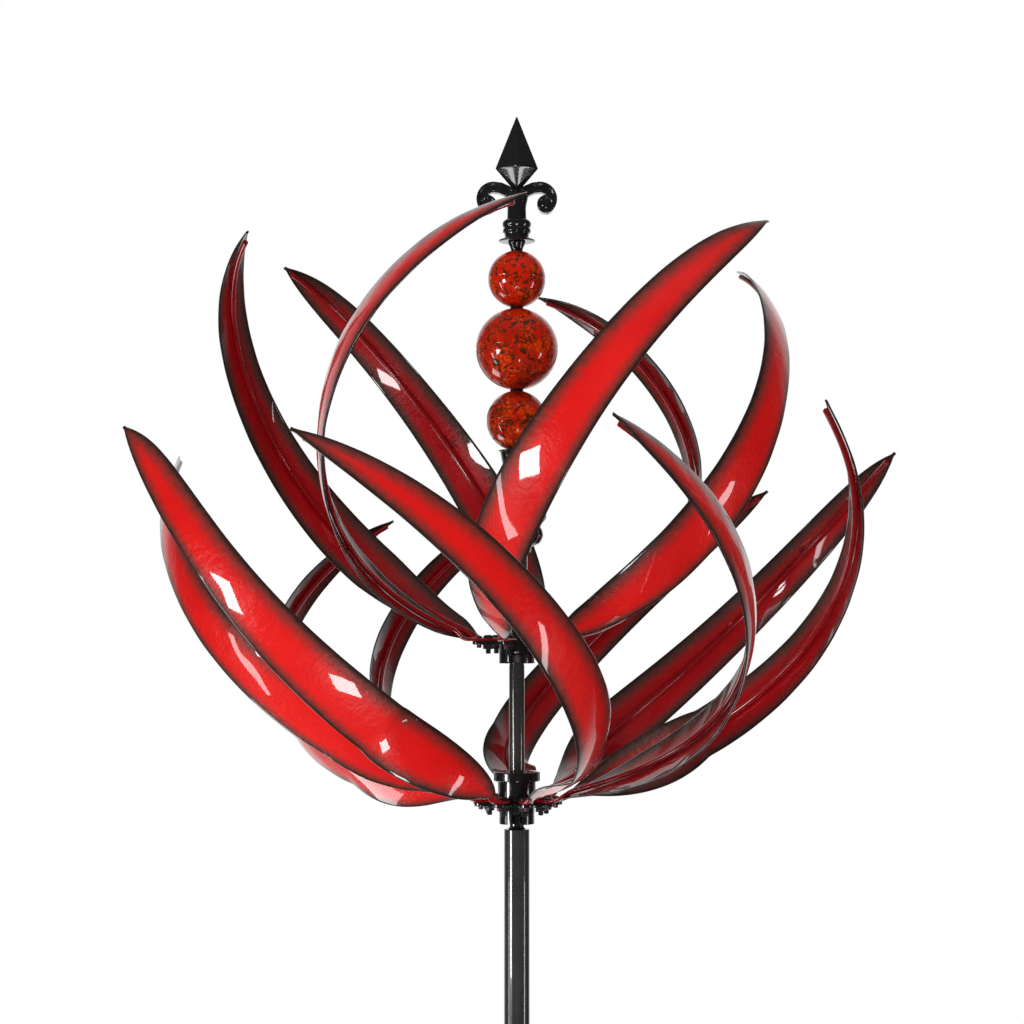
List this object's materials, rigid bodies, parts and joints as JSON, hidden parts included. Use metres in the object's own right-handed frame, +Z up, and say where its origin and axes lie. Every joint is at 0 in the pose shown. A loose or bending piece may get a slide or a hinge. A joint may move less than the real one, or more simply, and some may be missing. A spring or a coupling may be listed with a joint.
{
  "type": "kinetic wind spinner",
  "caption": "Vertical-axis garden wind spinner: two counter-wound rotors of curved red blades on a black pole with a ground fork and a ball-and-spear finial.",
  "frame": {"origin": "the pole's axis at ground level, on the straight wall of the centre prong of the ground fork", "axes": "+Z up along the pole; -Y is the front, from which the hub sleeves' slots are seen; +X to the right"},
  "size_m": [0.58, 0.6484, 2.0897],
  "materials": {
    "gloss_black": "gloss black enamel",
    "blade_red": "gloss red enamel, edges sprayed dark",
    "stem_red": "gloss dark red enamel",
    "ball_orange": "gloss orange-red with dark speckles",
    "bright_steel": "ground steel"
  },
  "bodies": {
    "stand": {"centre_prong": "gloss_black", "side_prongs": "gloss_black", "step_bar": "gloss_black", "lower_pole": "gloss_black", "middle_pole": "gloss_black", "upper_pole": "gloss_black", "pole_couplers": "gloss_black", "pole_plug": "gloss_black", "spindle_rod": "bright_steel", "hub_inner_spacers": "bright_steel", "hub_gap_tube": "gloss_black", "riser_tube": "gloss_black", "turned_ornament": "gloss_black", "ball_saucer": "gloss_black", "low_ball": "ball_orange", "mid_ball": "ball_orange", "top_ball": "ball_orange", "ball_spacers": "gloss_black", "finial_neck": "gloss_black", "finial_collar": "gloss_black", "finial_spear": "gloss_black", "bearing_inner_rings": "bright_steel"},
    "lower_rotor": {"lower_hub_sleeve": "gloss_black", "lower_hub_plate": "gloss_black", "lower_hub_body": "gloss_black", "lower_hub_cap": "gloss_black", "lower_bearing_outer_rings": "bright_steel", "lower_bearing_balls": "bright_steel", "lower_blade_stems": "stem_red", "lower_blade_bolts": "gloss_black", "lower_blade_nuts": "gloss_black", "lower_blade_pins": "stem_red", "lower_blade_1": "blade_red", "lower_blade_2": "blade_red", "lower_blade_3": "blade_red", "lower_blade_4": "blade_red", "lower_blade_5": "blade_red", "lower_blade_6": "blade_red", "lower_blade_7": "blade_red", "lower_blade_8": "blade_red", "lower_blade_9": "blade_red"},
    "upper_rotor": {"upper_hub_sleeve": "gloss_black", "upper_hub_plate": "gloss_black", "upper_bearing_outer_rings": "bright_steel", "upper_bearing_balls": "bright_steel", "upper_blade_stems": "stem_red", "upper_blade_bolts": "gloss_black", "upper_blade_nuts": "gloss_black", "upper_blade_pins": "stem_red", "upper_blade_1": "blade_red", "upper_blade_2": "blade_red", "upper_blade_3": "blade_red", "upper_blade_4": "blade_red", "upper_blade_5": "blade_red", "upper_blade_6": "blade_red"}
  },
  "joints": [
    {"name": "lower_spin", "type": "hinge", "parent": "stand", "child": "lower_rotor", "pos_m": [0, 0, 1.39], "axis": [0, 0, 1], "continuous": true},
    {"name": "upper_spin", "type": "hinge", "parent": "stand", "child": "upper_rotor", "pos_m": [0, 0, 1.5], "axis": [0, 0, 1], "continuous": true}
  ]
}
